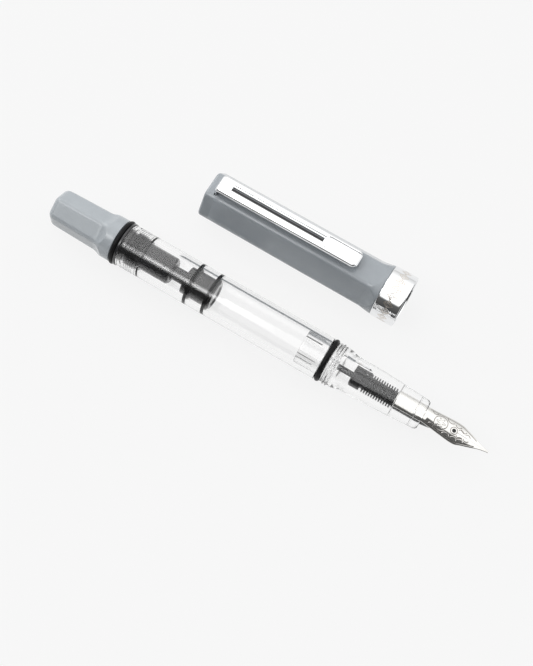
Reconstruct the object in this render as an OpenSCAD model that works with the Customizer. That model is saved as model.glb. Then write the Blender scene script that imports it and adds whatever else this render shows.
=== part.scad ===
// Piston-filling fountain pen with a clear barrel, lying beside its hexagonal screw cap.
// The pen lies along X with its nib towards +X. The cap lies parallel to it, towards +Y.
// The origin is on the table, under the centre of the pen and cap together.
// Stations along the pen are distances from the knob's rear end.
// Stations along the cap are distances from its closed end.

/* [Pen] */
// Length of the pen without its cap, from knob end to nib tip
pen_len = 131.4; // [129:0.1:140]
// Outer radius of the barrel
barrel_r = 6.0; // [5.9:0.05:6.1]
// Radius of the ink chamber's bore
bore_r = 4.65; // [4.6:0.01:4.7]
// Radial gap of every running fit
running_gap = 0.05; // [0.02:0.01:0.08]

/* [Knob] */
// Corner radius of the hexagon at the rear end
knob_end_corner_r = 5.15; // [5.0:0.05:5.2]
// Corner radius of the hexagon where the flare starts
knob_corner_r = 5.5; // [5.3:0.05:5.6]
// Station where the hexagon ends and the flare starts
knob_hex_end = 14.2; // [13.5:0.1:14.5]
// Station where the flare meets the round collar
knob_flare_end = 17.4; // [17:0.1:18]
// Station of the collar's front edge
knob_collar_end = 20.05; // [19.6:0.05:20.2]
// Radius of the round collar
knob_collar_r = 6.1; // [5.9:0.05:6.2]
// How far the hexagon's faces are turned about the pen's axis, in degrees
knob_turn_deg = 30; // [0:1:59]

/* [Piston] */
// Radius of the piston rod
rod_r = 1.9; // [1.8:0.05:2.0]
// Station of the piston's front face when the barrel is full
piston_front = 49.95; // [49.5:0.05:50]
// Length of the piston head
piston_len = 8.9; // [8.5:0.1:9.2]
// Radius of the piston head
piston_r = 3.95; // [3.8:0.05:4.1]

/* [Grip] */
// Station of the barrel's front edge
barrel_front = 83.05; // [82.8:0.05:83.2]
// Station of the grip's mouth
grip_front = 112.6; // [112.2:0.1:113]
// Length of the keyed tail inside the barrel
tail_len = 6.65; // [6:0.05:6.65]
// Number of slots in the keyed tail
tail_slots = 6; // [4:1:8]

/* [Nib and feed] */
// Radius of the feed across its fins
feed_r = 2.8; // [2.5:0.05:2.85]
// Number of fins on the feed
feed_fins = 13; // [8:1:15]
// Greatest width of the nib
nib_w = 6.0; // [5.4:0.1:6.0]
// Thickness of the nib's sheet
nib_t = 0.3; // [0.2:0.05:0.4]
// Length of the nib that shows ahead of the grip
nib_showing = 18.8; // [18:0.1:21]

/* [Cap] */
// Length of the cap
cap_len = 60.5; // [60:0.5:64]
// Distance between the pen's axis and the cap's axis
cap_apart = 24.75; // [22:0.05:60]
// How far the cap's middle lies behind the pen's middle
cap_back = 2.2; // [0:0.1:20]
// Distance across the flats at the closed end
cap_end_flats = 12.6; // [12.5:0.1:13]
// Distance across the flats where the flare starts
cap_flats = 12.9; // [12.7:0.1:13.4]
// Rounding radius of the hexagon's edges
cap_edge_r = 1.8; // [1:0.1:2.5]
// Radius of the chrome band
band_r = 7.4; // [7.35:0.05:7.8]
// Radius of the mouth
mouth_r = 6.75; // [6.7:0.01:6.8]
// Length of the chrome band
band_len = 6.8; // [6.5:0.05:7]

/* [Clip] */
// Width of the clip
clip_w = 5.2; // [5:0.05:6]
// Station of the clip's free end
clip_end = 45.2; // [44:0.1:47]
// Thickness of the clip's sheet
clip_t = 0.9; // [0.7:0.05:1.1]
// Height of the clip's top above the cap's face
clip_h = 3.2; // [2.4:0.1:3.4]
// Width of the long slot
clip_slot_w = 1.25; // [0.8:0.05:1.6]

/* [Hidden] */

// Facets of round parts, and of the round children of a hull
round_fn = 96;
hull_fn = 32;
// Overlap that makes a cut run cleanly past a face
cut = 0.5;
// How far a hull starts inside the shape that it grows out of
hull_step = 0.03;
// Gap between faces of neighbouring pieces
face_gap = 0.05;

// Posting O-ring, on the knob's neck
ring_wire_r = 0.6;
ring_out_r = 6.4;
ring_at = knob_collar_end + 0.1 + ring_wire_r;
neck_r = ring_out_r - 2 * ring_wire_r - 0.1;
neck_end = ring_at + ring_wire_r + 0.05;

// Rounding of the knob's long edges and of its rear end
knob_edge_r = 1.6;
knob_end_round = 0.9;

// Knob's inside
sleeve_bore_from = 2.5;
knob_cavity_from = 12.8;
knob_cavity_r = 4.5;
knob_sleeve_r = 3.2;
knob_sleeve_bore_r = 2.35;
knob_sleeve_from = 4.6;
knob_sleeve_to = 22.0;
spindle_r = 1.2;
spindle_to = 39.0;
spindle_head_len = 2.0;

// Connector that closes the barrel's rear end
flange_from = neck_end + 0.1;
flange_r = 6.2;
flange_t = 0.65;
barrel_rear = flange_from + flange_t + face_gap;
connector_neck_r = 4.2;
connector_neck_from = 14.4;
connector_bore_r = 3.3;
connector_smooth_r = 4.45;
connector_thread_r = 4.75;
thread_from = 24.0;
thread_turns = 5;
thread_pitch = 0.72;
thread_to = thread_from + thread_turns * thread_pitch;
connector_to = thread_to + 0.2;
barrel_thread_r = 4.85;
barrel_groove_r = 5.15;
undercut_to = 28.6;

// Guide sleeve and the flats that keep the rod from turning
guide_r = 3.8;
guide_base_r = 4.3;
guide_base_from = connector_to + face_gap;
guide_from = undercut_to + 0.2;
guide_to = 37.0;
rod_flat = 1.6;

// Piston
rod_from = 5.5;
rod_bore_r = spindle_r + 0.1;
rod_bore_to = 40.0;
piston_rear = piston_front - piston_len;
rod_to = piston_rear + 2.7;
seal_groove_r = 3.4;
seal_lip_r = bore_r - 0.03;
seal_w = 1.2;
rear_seal_at = piston_rear + 1.6;
front_seal_at = piston_front - 1.7;

// Grip section
tail_r = bore_r - running_gap;
tail_bore_r = 3.6;
tail_from = barrel_front - tail_len;
tail_slot_w = 1.2;
tail_slot_turn = 52;
tail_slot_to = tail_from + 4.8;
o_ring_wire_r = 0.72;
o_ring_out_r = 6.15;
o_ring_at = barrel_front + 0.1 + o_ring_wire_r;
shoulder = o_ring_at + o_ring_wire_r + 0.1;
grip_thread_r = 6.0;
grip_root_r = 5.65;
grip_thread_pitch = 0.9;
grip_thread_turns = 3;
grip_thread_to = shoulder + grip_thread_pitch * grip_thread_turns;
grip_profile = [[5.06, 90.4], [4.98, 94.9], [4.87, 99.9], [4.47, 106.9], [4.25, 111.1]];
grip_lip_r = 3.85;
wall_from = 84.9;
chamber_from = 87.5;
chamber_r = 3.3;
chamber_to = 104.4;
ink_hole_r = 0.9;
grip_bore_r = 2.95;

// Feed
fork_r = 0.8;
fork_from = chamber_from + 0.1;
fork_slot_w = 0.45;
fork_slot_len = 1.8;
feed_from = 91.5;
fins_from = 94.6;
fins_to = 104.0;
fin_pitch = (fins_to - fins_from) / feed_fins;
fin_core_r = 2.0;
feed_front_r = 2.4;
feed_tip = grip_front + 12.5;
feed_tip_r = 0.35;
channel_w = 0.7;
channel_depth = 0.6;

// Nib: a curved sheet, straight in the grip and bent down towards its tip
nib_curve_r = 3.1;
nib_drop = 0.38;
nib_from = 104.2;
nib_bend_at = grip_front + 0.9;
nib_base_w = 4.6;
nib_tip_at = grip_front + nib_showing;
nib_widest_at = grip_front + 9.2;
nib_tilt = 7.2;
nib_slit_w = 0.12;
breather_at = grip_front + 8.6;
breather_r = 0.55;
tip_ball_r = 0.45;

// Cap
cap_x = -cap_back - cap_len / 2;
cap_edge = (cap_flats / 2 - cap_edge_r) / cos(30) + cap_edge_r;
cap_z = band_r;
finial_t = 3.1;
washer_t = 0.8;
washer_from = finial_t - washer_t;
shell_from = finial_t + face_gap;
flare_from = 49.8;
band_from = cap_len - band_len;
flare_r = 7.2;
neck_out_r = 7.0;
band_step = band_from + 2.3;
stud_r = 2.2;
shell_top_t = 2.4;
liner_from = 7.0;
liner_bore_from = 7.8;
liner_r = 5.65;
liner_bore_r = 5.25;
liner_step = 52.6;
liner_wide_r = 6.45;
liner_wide_bore_r = 6.2;
liner_thread_r = 6.05;
liner_to = 55.7;
shell_bore_r = liner_r + 0.05;
shell_wide_bore_r = liner_wide_r + 0.05;
screw_r = 1.2;
screw_head_r = 3.0;

// Clip, in the cap's own frame
clip_root_z = cap_end_flats / 2;
clip_top_z = clip_root_z + clip_h;
clip_from = washer_from + 0.05;
washer_r = clip_root_z - 1.0;
clip_leg_t = washer_t - 0.1;
clip_toe_at = 41.2;
clip_toe_z = cap_flats / 2 + 0.05;
clip_slot_from = 6.45;
clip_slot_to = 34.3;
clip_corner_r = 1.4;

// Where the pen's axis lies
pen_z = ring_out_r;
pen_y = -(cap_apart + max(cap_edge, band_r) - ring_out_r) / 2;

// Puts a shape whose axis is Z on the pen's axis, its zero at the knob's rear end
module on_pen() {
    translate([-pen_len / 2, pen_y, pen_z]) rotate([0, 90, 0]) rotate([0, 0, 180]) children();
}

// Puts a shape whose axis is Z on the cap's axis, its zero at the cap's closed end
module on_cap() {
    translate([cap_x, pen_y + cap_apart, cap_z]) rotate([0, 90, 0]) rotate([0, 0, 180]) children();
}

// A round piece turned from a profile of [radius, station] points
module turned(profile) {
    rotate_extrude($fn = round_fn) polygon(profile);
}

// A solid round bar between two stations, also used as a cutter
module bar(from, to, r) {
    translate([0, 0, from]) cylinder(h = to - from, r = r, $fn = round_fn);
}

// A round bar or, with a bore, a tube between two stations
module tube(from, to, r, bore = 0) {
    difference() {
        bar(from, to, r);
        if (bore > 0)
            bar(from - cut, to + cut, bore);
    }
}

// Thread crests drawn as evenly spaced rings
module thread_rings(from, turns, pitch, root, crest) {
    for (i = [0 : turns - 1]) {
        z = from + i * pitch;
        turned([[root - 0.3, z], [root, z], [crest, z + pitch * 0.35],
                [crest, z + pitch * 0.55], [root, z + pitch * 0.9], [root - 0.3, z + pitch * 0.9]]);
    }
}

// An O-ring whose wire is round
module o_ring(at, out_r, wire_r) {
    rotate_extrude($fn = round_fn) translate([out_r - wire_r, at]) circle(r = wire_r, $fn = hull_fn);
}

// Six short discs at a hexagon's corners, for a hull
module corner_discs(corner_r, edge_r, at, t = 0.02) {
    for (a = [30 : 60 : 330])
        rotate([0, 0, a]) translate([corner_r - edge_r, 0, at]) cylinder(h = t, r = edge_r, $fn = hull_fn);
}

module barrel() {
    color("white", 0.3) on_pen() difference() {
        bar(barrel_rear, barrel_front, barrel_r);
        bar(barrel_rear - cut, undercut_to, barrel_thread_r);
        bar(undercut_to - cut, barrel_front + cut, bore_r);
        thread_rings(thread_from, thread_turns, thread_pitch, barrel_thread_r, barrel_groove_r);
        bar(undercut_to - 0.7, undercut_to, barrel_groove_r);
    }
}

module grip_section() {
    color("white", 0.3) on_pen() difference() {
        union() {
            bar(tail_from, shoulder + cut, tail_r);
            turned(concat(
                [[0, shoulder], [grip_root_r, shoulder], [grip_root_r, grip_thread_to]],
                grip_profile,
                [for (a = [0 : 15 : 90])
                    [grip_lip_r + 0.4 * cos(a), grip_front - 1.1 + 1.1 * sin(a)]],
                [[0, grip_front]]
            ));
            thread_rings(shoulder + 0.1, grip_thread_turns, grip_thread_pitch, grip_root_r, grip_thread_r);
        }
        bar(tail_from - cut, wall_from, tail_bore_r);
        bar(wall_from - cut, chamber_from + cut, ink_hole_r);
        bar(chamber_from, chamber_to, chamber_r);
        bar(chamber_to - cut, grip_front + cut, grip_bore_r);
        for (i = [0 : tail_slots - 1])
            rotate([0, 0, i * 360 / tail_slots + tail_slot_turn])
                translate([tail_bore_r - cut, -tail_slot_w / 2, tail_from - cut])
                cube([tail_r - tail_bore_r + 1, tail_slot_w, tail_slot_to - tail_from + cut]);
    }
}

module section_o_ring() {
    color("black") on_pen() o_ring(o_ring_at, o_ring_out_r, o_ring_wire_r);
}

module feed() {
    color("dimgray") on_pen() difference() {
        union() {
            tube(fork_from, feed_from + cut, fork_r);
            tube(feed_from, fins_from, feed_r);
            tube(fins_from - cut, fins_to + cut, fin_core_r);
            for (i = [1 : feed_fins - 1])
                tube(fins_from + i * fin_pitch, fins_from + (i + 0.5) * fin_pitch, feed_r);
            tube(fins_to, nib_bend_at, feed_front_r);
            translate([0, 0, nib_bend_at - 0.01])
                cylinder(h = feed_tip - nib_bend_at, r1 = feed_front_r, r2 = feed_tip_r, $fn = round_fn);
        }
        translate([feed_r - channel_depth, -channel_w / 2, feed_from - cut])
            cube([channel_depth + cut, channel_w, fins_to - feed_from + cut]);
        translate([-fork_r - cut, -fork_slot_w / 2, fork_from - cut])
            cube([2 * fork_r + 2 * cut, fork_slot_w, fork_slot_len + cut]);
    }
}

// The nib's outline seen from above, as half widths at stations
module nib_outline() {
    half = [
        [nib_from, nib_base_w / 2], [nib_bend_at + 1, nib_base_w / 2 + 0.15],
        [nib_widest_at - 3.1, nib_w / 2 - 0.14], [nib_widest_at - 1, nib_w / 2 - 0.02],
        [nib_widest_at + 0.7, nib_w / 2], [nib_widest_at + 2, nib_w / 2 - 0.5],
        [nib_widest_at + 4.2, 1.83], [nib_tip_at - 2.2, 0.66], [nib_tip_at, 0.25]
    ];
    right = [for (p = half) [p[1], p[0]]];
    left = [for (i = [len(half) - 1 : -1 : 0]) [-half[i][1], half[i][0]]];
    polygon(concat(right, left));
}

// The curved sheet that the nib is cut from, between two stations
module nib_sheet(from, to) {
    difference() {
        bar(from, to, nib_curve_r);
        bar(from - cut, to + cut, nib_curve_r - nib_t);
        translate([-2 * nib_curve_r, -nib_curve_r - cut, from - cut])
            cube([2 * nib_curve_r, 2 * nib_curve_r + 2 * cut, to - from + 2 * cut]);
    }
}

// The space behind (side -1) or ahead (side 1) of the plane where the nib's two stretches meet
module mitre_block(side) {
    size = 60;
    rotate([0, -nib_tilt / 2, 0]) translate([-size / 2, -size / 2, side < 0 ? -size : 0]) cube(size);
}

module nib() {
    color("silver") on_pen() difference() {
        intersection() {
            translate([-nib_drop, 0, nib_bend_at]) {
                intersection() {
                    nib_sheet(nib_from - nib_bend_at, 1);
                    mitre_block(-1);
                }
                intersection() {
                    rotate([0, -nib_tilt, 0]) nib_sheet(-1, nib_tip_at - nib_bend_at + 1);
                    mitre_block(1);
                }
            }
            rotate([0, 90, 0]) rotate([0, 0, 90]) linear_extrude(height = 6) nib_outline();
        }
        translate([0, -nib_slit_w / 2, breather_at]) cube([6, nib_slit_w, nib_tip_at - breather_at + 1]);
        translate([0, 0, breather_at]) rotate([0, 90, 0]) cylinder(h = 6, r = breather_r, $fn = round_fn);
    }
}

module connector() {
    color("black") on_pen() difference() {
        union() {
            bar(connector_neck_from, flange_from + cut, connector_neck_r);
            bar(flange_from, flange_from + flange_t, flange_r);
            bar(flange_from, connector_to, connector_smooth_r);
            thread_rings(thread_from, thread_turns, thread_pitch, connector_smooth_r, connector_thread_r);
        }
        bar(connector_neck_from - cut, connector_to + cut, connector_bore_r);
    }
}

// The rod's cross-section, round with two flats, grown by a clearance
module rod_shape(from, to, gap) {
    intersection() {
        bar(from, to, rod_r + gap);
        translate([-rod_flat - gap, -5, from]) cube([2 * (rod_flat + gap), 10, to - from]);
    }
}

module guide_sleeve() {
    color("black") on_pen() difference() {
        turned([
            [0, guide_base_from], [guide_base_r, guide_base_from], [guide_base_r, guide_from],
            [guide_r, guide_from], [guide_r, guide_to - 0.8], [guide_r - 0.6, guide_to], [0, guide_to]
        ]);
        rod_shape(guide_base_from - cut, guide_to + cut, running_gap);
    }
}

module posting_o_ring() {
    color("black") on_pen() o_ring(ring_at, ring_out_r, ring_wire_r);
}

module knob() {
    color("slategray") on_pen() difference() {
        union() {
            rotate([0, 0, knob_turn_deg]) hull() {
                corner_discs(knob_end_corner_r - knob_end_round, knob_edge_r - knob_end_round, 0);
                corner_discs(knob_end_corner_r - 0.3 * knob_end_round, knob_edge_r, 0.3 * knob_end_round);
                corner_discs(knob_end_corner_r, knob_edge_r, knob_end_round);
                corner_discs(knob_corner_r, knob_edge_r, knob_hex_end);
            }
            rotate([0, 0, knob_turn_deg]) hull() {
                corner_discs(knob_corner_r - hull_step, knob_edge_r, knob_hex_end - 4 * hull_step);
                translate([0, 0, knob_flare_end])
                    cylinder(h = 4 * hull_step, r = knob_collar_r - hull_step, $fn = round_fn);
            }
            bar(knob_flare_end, knob_collar_end, knob_collar_r);
            bar(knob_collar_end - cut, neck_end, neck_r);
        }
        bar(sleeve_bore_from, knob_cavity_from + cut, knob_sleeve_r + running_gap);
        bar(knob_cavity_from, neck_end + cut, knob_cavity_r);
    }
}

module knob_sleeve() {
    color("black") on_pen() tube(knob_sleeve_from, knob_sleeve_to, knob_sleeve_r, knob_sleeve_bore_r);
}

module spindle() {
    color("gray") on_pen() {
        bar(sleeve_bore_from + face_gap, sleeve_bore_from + spindle_head_len, knob_sleeve_r);
        bar(sleeve_bore_from + spindle_head_len - cut, spindle_to, spindle_r);
    }
}

module piston_rod() {
    color("black") on_pen() difference() {
        rod_shape(rod_from, rod_to, 0);
        bar(rod_from - cut, rod_bore_to, rod_bore_r);
    }
}

module piston_head() {
    color("black") on_pen() difference() {
        union() {
            bar(piston_rear, rear_seal_at, piston_r);
            bar(rear_seal_at - cut, front_seal_at + seal_w + cut, seal_groove_r);
            bar(rear_seal_at + seal_w, front_seal_at, piston_r);
            bar(front_seal_at + seal_w, piston_front, piston_r);
        }
        bar(piston_rear - cut, rod_to + face_gap, rod_r + running_gap);
    }
}

// A flared rubber lip that seals against the bore, seated in a groove of the piston head
module seal(at) {
    turned([
        [seal_groove_r + 0.02, at + face_gap], [piston_r, at + face_gap],
        [seal_lip_r, at + 0.15], [seal_lip_r, at + seal_w - 0.3],
        [piston_r, at + seal_w - face_gap], [seal_groove_r + 0.02, at + seal_w - face_gap]
    ]);
}

module rear_seal() {
    color("black") on_pen() seal(rear_seal_at);
}

module front_seal() {
    color("black") on_pen() seal(front_seal_at);
}

// Corner discs of the cap's hexagon for a distance across its flats
module cap_discs(flats, edge_r, at) {
    corner_discs((flats / 2 - edge_r) / cos(30) + edge_r, edge_r, at);
}

module cap_shell() {
    color("slategray") on_cap() difference() {
        union() {
            hull() {
                cap_discs(cap_end_flats, cap_edge_r, shell_from);
                cap_discs(cap_flats, cap_edge_r, flare_from);
            }
            hull() {
                cap_discs(cap_flats - 2 * hull_step, cap_edge_r, flare_from - 4 * hull_step);
                translate([0, 0, band_from - 0.07]) cylinder(h = 0.02, r = flare_r, $fn = round_fn);
            }
            bar(band_from - cut, band_step - face_gap, neck_out_r);
        }
        bar(shell_from - cut, shell_from + shell_top_t + cut, stud_r + 0.05);
        bar(shell_from + shell_top_t, liner_step, shell_bore_r);
        bar(liner_step - face_gap, cap_len, shell_wide_bore_r);
    }
}

module inner_cap() {
    color("dimgray") on_cap() difference() {
        union() {
            bar(liner_from, liner_to, liner_r);
            bar(liner_step, liner_to, liner_wide_r);
        }
        bar(liner_bore_from, liner_to + cut, liner_bore_r);
        bar(liner_step + 0.4, liner_to + cut, liner_thread_r);
        for (i = [0 : grip_thread_turns - 1]) {
            z = liner_step + 0.6 + i * grip_thread_pitch;
            bar(z, z + 0.5, liner_wide_bore_r);
        }
    }
}

module cap_band() {
    color("gainsboro") on_cap() difference() {
        turned([
            [0, band_from], [band_r - 0.15, band_from], [band_r, band_from + 0.15],
            [band_r, cap_len - 0.35], [band_r - 0.1, cap_len - 0.1], [band_r - 0.35, cap_len], [0, cap_len]
        ]);
        bar(band_from - cut, band_step, neck_out_r + face_gap);
        bar(band_step - cut, cap_len + cut, mouth_r);
    }
}

module finial() {
    color("slategray") on_cap() difference() {
        union() {
            hull() {
                cap_discs(cap_end_flats - 0.7, cap_edge_r - 0.35, 0);
                cap_discs(cap_end_flats - 0.15, cap_edge_r, 0.25);
                cap_discs(cap_end_flats, cap_edge_r, finial_t - 0.3);
                cap_discs(cap_end_flats, cap_edge_r, finial_t - 0.02);
            }
            bar(washer_from - cut, shell_from + shell_top_t - 0.1, stud_r);
        }
        bar(washer_from - 1, shell_from + shell_top_t + cut, screw_r + 0.05);
        difference() {
            union() {
                bar(washer_from, finial_t + cut, washer_r + 0.05);
                translate([0, -clip_w / 2 - 0.1, washer_from])
                    cube([cap_flats, clip_w + 0.2, washer_t + cut]);
            }
            bar(washer_from - cut, finial_t + 2 * cut, stud_r);
        }
    }
}

module finial_screw() {
    color("silver") on_cap() difference() {
        union() {
            bar(washer_from - 0.9, shell_from + shell_top_t + 0.1, screw_r);
            bar(shell_from + shell_top_t + 0.05, shell_from + shell_top_t + 1.2, screw_head_r);
        }
        translate([-0.4, -5, shell_from + shell_top_t + 0.7]) cube([0.8, 10, 2]);
    }
}

module clip_washer() {
    color("silver") on_cap() tube(washer_from + 0.05, finial_t, washer_r, stud_r + 0.05);
}

// The clip's side view: a leg up from the cap, a long straight arm and a toe under its end
module clip_side() {
    toe = clip_toe_at;
    polygon([
        [clip_root_z - 0.7, clip_from], [clip_root_z + 0.9, clip_from],
        [clip_top_z - 0.7, clip_from + 0.3], [clip_top_z - 0.15, clip_from + 0.7],
        [clip_top_z, clip_from + 1.2], [clip_top_z + 0.1, toe - 5.5], [clip_top_z + 0.1, clip_end - 0.4],
        [clip_top_z - 0.3, clip_end], [clip_top_z + 0.1 - clip_t, clip_end],
        [clip_top_z + 0.1 - clip_t, toe + 1.9], [clip_toe_z + 0.4, toe + 1.2], [clip_toe_z, toe + 0.5],
        [clip_toe_z, toe - 0.5], [clip_toe_z + 0.4, toe - 1.2], [clip_top_z + 0.1 - clip_t, toe - 1.9],
        [clip_top_z + 0.1 - clip_t, toe - 6],
        [clip_top_z - clip_t, clip_from + clip_leg_t + 1], [clip_root_z + 0.9, clip_from + clip_leg_t],
        [clip_root_z - 0.7, clip_from + clip_leg_t]
    ]);
}

// The clip's outline from above, with a rounded free end
module clip_plan() {
    half = clip_w / 2;
    inner = half - clip_corner_r;
    translate([-half, clip_from - cut])
        square([clip_w, clip_end - clip_corner_r - clip_from + cut]);
    translate([-inner, clip_from])
        square([2 * inner, clip_end - clip_from]);
    for (side = [-1, 1])
        translate([side * inner, clip_end - clip_corner_r])
            circle(r = clip_corner_r, $fn = round_fn);
}

module clip() {
    color("gainsboro") on_cap() difference() {
        intersection() {
            translate([0, clip_w / 2, 0]) rotate([90, 0, 0]) linear_extrude(height = clip_w) clip_side();
            rotate([0, 90, 0]) rotate([0, 0, 90]) linear_extrude(height = 2 * clip_top_z) clip_plan();
        }
        translate([0, -clip_slot_w / 2, clip_slot_from])
            cube([2 * clip_top_z, clip_slot_w, clip_slot_to - clip_slot_from]);
    }
}

barrel();
grip_section();
section_o_ring();
feed();
nib();
connector();
guide_sleeve();
posting_o_ring();
knob();
knob_sleeve();
spindle();
piston_rod();
piston_head();
rear_seal();
front_seal();
cap_shell();
inner_cap();
cap_band();
finial();
finial_screw();
clip_washer();
clip();
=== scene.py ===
import math
from collections import namedtuple

import bmesh
import bpy
from mathutils import Matrix, Vector


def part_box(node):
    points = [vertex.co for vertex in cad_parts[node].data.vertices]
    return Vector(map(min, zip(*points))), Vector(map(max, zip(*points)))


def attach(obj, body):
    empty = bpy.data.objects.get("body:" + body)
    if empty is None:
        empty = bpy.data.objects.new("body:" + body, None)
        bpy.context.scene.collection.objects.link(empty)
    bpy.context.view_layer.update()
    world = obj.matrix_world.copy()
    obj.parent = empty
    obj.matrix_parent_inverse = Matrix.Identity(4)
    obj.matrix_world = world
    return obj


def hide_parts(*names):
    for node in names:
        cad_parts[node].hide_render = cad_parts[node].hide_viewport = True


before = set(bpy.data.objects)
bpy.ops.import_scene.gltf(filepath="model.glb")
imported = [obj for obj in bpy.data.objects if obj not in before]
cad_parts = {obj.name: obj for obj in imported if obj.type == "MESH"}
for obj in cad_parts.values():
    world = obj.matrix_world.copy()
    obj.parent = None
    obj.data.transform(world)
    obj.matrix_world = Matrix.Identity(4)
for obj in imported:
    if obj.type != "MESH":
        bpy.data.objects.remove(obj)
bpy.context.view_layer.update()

MM = 0.001
TAU = 2 * math.pi


# ---------------------------- frame

class Axis:
    """A line along X that round pieces are turned about. A station is a distance along it from x, in mm."""

    def __init__(self, x, y, z):
        self.x, self.y, self.z = x, y, z

    def place(self, s, side, height):
        """The point in metres at a station, a distance towards -Y and a height over the axis."""
        return Vector((self.x + s, self.y - side, self.z + height)) * MM

    def point(self, s, radius, angle):
        """The point in metres at a station, a radius and an angle. 0 is up and a quarter turn is -Y."""
        return self.place(s, radius * math.sin(angle), radius * math.cos(angle))

    def ends(self, node):
        """The stations of a node's rear and front ends."""
        low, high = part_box(node)
        return low.x / MM - self.x, high.x / MM - self.x


def axis_of(first_node, round_node):
    """The axis of round_node, with station 0 at first_node's rear end."""
    low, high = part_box(round_node)
    middle = (low + high) / 2 / MM
    return Axis(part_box(first_node)[0].x / MM, middle.y, middle.z)


PEN = axis_of("knob", "barrel")
CAP = axis_of("finial", "cap_band")


# ---------------------------- materials

WHITE = (1, 1, 1, 1)
ACRYLIC_IOR, MOULDED_IOR = 1.49, 1.5
FINE_GRAIN, COARSE_GRAIN = 0.000004, 0.000006
STREAKED = (0.25, 1, 1)


class Graph:
    """The node tree of a material or of the world."""

    def __init__(self, owner):
        owner.use_nodes = True
        self.nodes, self.links = owner.node_tree.nodes, owner.node_tree.links

    def noise(self, scale, detail, stretch=(1, 1, 1)):
        """Noise in the object's own metres, so its grain has a real size. Scale is in cycles per metre."""
        coordinates = self.nodes.new("ShaderNodeTexCoord")
        mapping = self.nodes.new("ShaderNodeMapping")
        mapping.inputs["Scale"].default_value = stretch
        texture = self.nodes.new("ShaderNodeTexNoise")
        texture.inputs["Scale"].default_value = scale
        texture.inputs["Detail"].default_value = detail
        self.links.new(coordinates.outputs["Object"], mapping.inputs["Vector"])
        self.links.new(mapping.outputs["Vector"], texture.inputs["Vector"])
        return texture.outputs["Fac"]

    def ramp(self, value, low, high, from_low=0.3, from_high=0.7):
        """A number that goes from low to high as value goes from from_low to from_high."""
        node = self.nodes.new("ShaderNodeMapRange")
        node.inputs["From Min"].default_value = from_low
        node.inputs["From Max"].default_value = from_high
        node.inputs["To Min"].default_value = low
        node.inputs["To Max"].default_value = high
        self.links.new(value, node.inputs["Value"])
        return node.outputs["Result"]

    def mix(self, value, low, high):
        """A colour that goes from low to high with value. Each is a colour or another node's output."""
        node = self.nodes.new("ShaderNodeMix")
        node.data_type = "RGBA"
        self.links.new(value, node.inputs["Factor"])
        for name, colour in (("A", low), ("B", high)):
            if isinstance(colour, tuple):
                node.inputs[name].default_value = (*colour, 1)
            else:
                self.links.new(colour, node.inputs[name])
        return node.outputs["Result"]

    def math(self, operation, value, other=0.0):
        """The result of a sum on a value and a second value or constant."""
        node = self.nodes.new("ShaderNodeMath")
        node.operation = operation
        self.links.new(value, node.inputs[0])
        if isinstance(other, float):
            node.inputs[1].default_value = other
        else:
            self.links.new(other, node.inputs[1])
        return node.outputs["Value"]


class Look(Graph):
    """A new material and its Principled shader."""

    def __init__(self, name):
        self.material = bpy.data.materials.new(name)
        super().__init__(self.material)
        self.inputs = self.nodes["Principled BSDF"].inputs

    def constants(self, **values):
        """Sets sockets to constants. An underscore stands for a space in a socket's name."""
        for name, value in values.items():
            self.inputs[name.replace("_", " ")].default_value = value

    def link(self, name, value):
        """Links another node's output to a socket."""
        self.links.new(value, self.inputs[name])

    def bump(self, height, depth):
        """Relief of the given depth in metres."""
        node = self.nodes.new("ShaderNodeBump")
        node.inputs["Distance"].default_value = depth
        self.links.new(height, node.inputs["Height"])
        self.link("Normal", node.outputs["Normal"])


def clear_plastic(name, roughness):
    """Clear acrylic, with faint lengthwise streaks in its gloss and a slight wave in its surface."""
    look = Look(name)
    look.constants(Base_Color=WHITE, Transmission_Weight=1.0, IOR=ACRYLIC_IOR)
    streaks = look.noise(900, 4, (0.12, 1, 1))
    look.link("Roughness", look.ramp(streaks, roughness, roughness * 2.5))
    look.bump(look.noise(160, 2, (0.35, 1, 1)), 0.000012)
    return look.material


def moulded_plastic(name, dark, light, roughness, depth=FINE_GRAIN, coat=0.0):
    """Opaque moulded plastic: a slight cloud in its colour, a fine grain and handling marks in its gloss."""
    look = Look(name)
    look.constants(IOR=MOULDED_IOR, Coat_Weight=coat, Coat_Roughness=0.05)
    cloud = look.noise(220, 4)
    look.link("Base Color", look.mix(look.ramp(cloud, 0, 1), dark, light))
    marks = look.noise(1400, 5, STREAKED)
    look.link("Roughness", look.ramp(marks, roughness * 0.8, roughness * 1.3))
    look.bump(look.noise(2600, 2), depth)
    return look.material


def polished_metal(name, dark, light, roughness):
    """Bright metal with a faint haze of fine wiping marks."""
    look = Look(name)
    look.constants(Metallic=1.0)
    haze = look.noise(500, 5, (0.2, 1, 1))
    look.link("Base Color", look.mix(look.ramp(haze, 0, 1), dark, light))
    look.link("Roughness", look.ramp(haze, roughness * 0.7, roughness * 1.6))
    look.bump(look.noise(3000, 3), 0.000002)
    return look.material


def engraved_metal(name, dark, light, fill, roughness, cut_roughness=0.42):
    """Polished metal. The attribute 'engraving' is 1 in the cut lines, which have the colour fill."""
    look = Look(name)
    look.constants(Metallic=1.0)
    attribute = look.nodes.new("ShaderNodeAttribute")
    attribute.attribute_name = "engraving"
    cut = attribute.outputs["Fac"]
    bare = look.mix(look.ramp(look.noise(700, 4, STREAKED), 0, 1), dark, light)
    look.link("Base Color", look.mix(cut, bare, fill))
    look.link("Roughness", look.ramp(cut, roughness, cut_roughness, 0, 1))
    look.bump(look.noise(2400, 3, (0.2, 1, 1)), 0.000002)
    return look.material


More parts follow.
